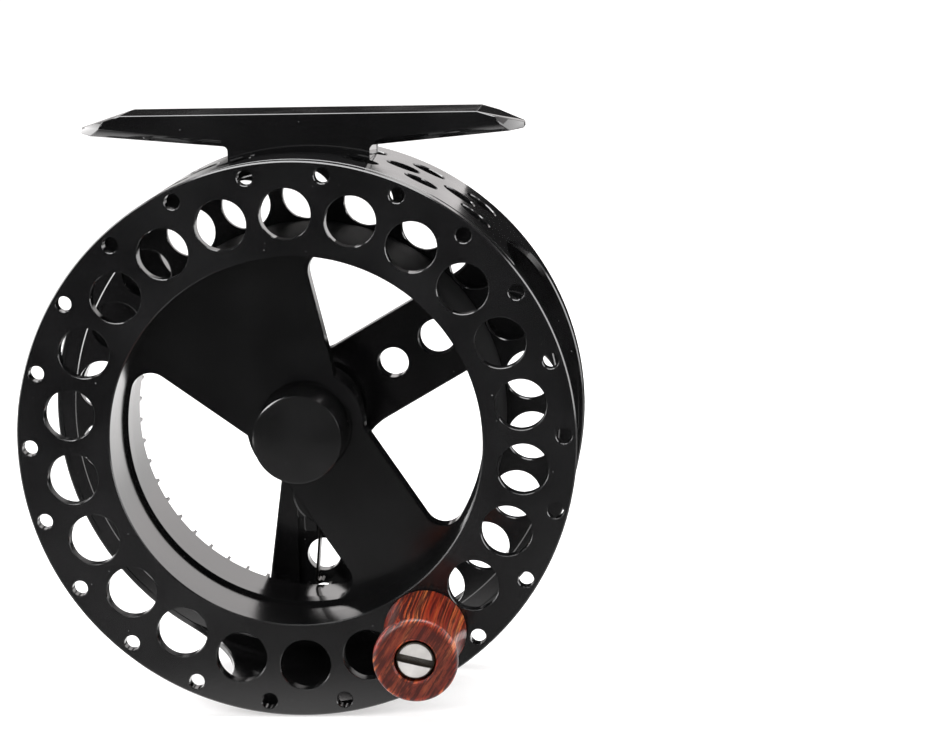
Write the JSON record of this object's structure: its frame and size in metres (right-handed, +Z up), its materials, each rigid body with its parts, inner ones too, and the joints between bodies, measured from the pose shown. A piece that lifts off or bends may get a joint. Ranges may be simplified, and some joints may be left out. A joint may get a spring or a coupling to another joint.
{
  "type": "fly reel",
  "caption": "Ported black fly reel: open spool with counterweight arm and crank knob in a spider-backed cage frame with foot, click spring and hub cap.",
  "frame": {"origin": "centre of the foot's top face, where it meets the rod's reel seat", "axes": "+Z up out of the foot, +Y along the spindle towards the back of the frame, +X to the right seen from the handle side; the spindle axis is 47 mm below the origin"},
  "size_m": [0.0826, 0.0535, 0.0883],
  "materials": {
    "anodised_frame": "black anodised, satin",
    "anodised_spool": "black anodised, satin",
    "anodised_foot": "black anodised, glossy",
    "anodised_cap": "black anodised, satin",
    "screw_steel": "turned stainless steel",
    "spindle_steel": "ground stainless steel",
    "bearing_steel": "polished bearing steel",
    "spring_steel": "spring steel",
    "bronze": "oiled bronze",
    "nylon": "natural nylon",
    "rosewood": "oiled, close red-brown grain"
  },
  "bodies": {
    "frame": {"frame": "anodised_frame", "reel_foot": "anodised_foot", "foot_screw_left": "screw_steel", "foot_screw_right": "screw_steel", "spindle": "spindle_steel", "spindle_screw": "screw_steel", "click_block": "anodised_frame", "click_screw": "screw_steel"},
    "carriage": {"bearing_front_inner": "bearing_steel", "bearing_rear_inner": "bearing_steel", "bearing_spacer": "bronze", "cap_washer": "nylon"},
    "spool": {"spool": "anodised_spool", "bearing_front_outer": "bearing_steel", "bearing_rear_outer": "bearing_steel", "handle_post": "spindle_steel", "handle_washer": "spindle_steel", "handle_screw": "screw_steel"},
    "cap": {"hub_cap": "anodised_cap"},
    "handle": {"handle_knob": "rosewood", "handle_bush": "bronze"},
    "click": {"click_spring": "spring_steel"}
  },
  "joints": [
    {"name": "spool_slide", "type": "slide", "parent": "frame", "child": "carriage", "axis": [0, -1, 0], "range_m": [0, 0.04]},
    {"name": "spool_spin", "type": "hinge", "parent": "carriage", "child": "spool", "pos_m": [0, 0, -0.047], "axis": [0, 1, 0], "continuous": true},
    {"name": "cap_turn", "type": "hinge", "parent": "carriage", "child": "cap", "pos_m": [0, 0, -0.047], "axis": [0, 1, 0], "continuous": true},
    {"name": "handle_spin", "type": "hinge", "parent": "spool", "child": "handle", "pos_m": [0.01864, -0.03, -0.07495], "axis": [0, 1, 0], "continuous": true},
    {"name": "click_flex", "type": "hinge", "parent": "frame", "child": "click", "pos_m": [0, 0.0078, -0.0648], "axis": [0, 1, 0], "range_deg": [-5, 5], "stiffness_Nm_per_rad": 0.02}
  ]
}
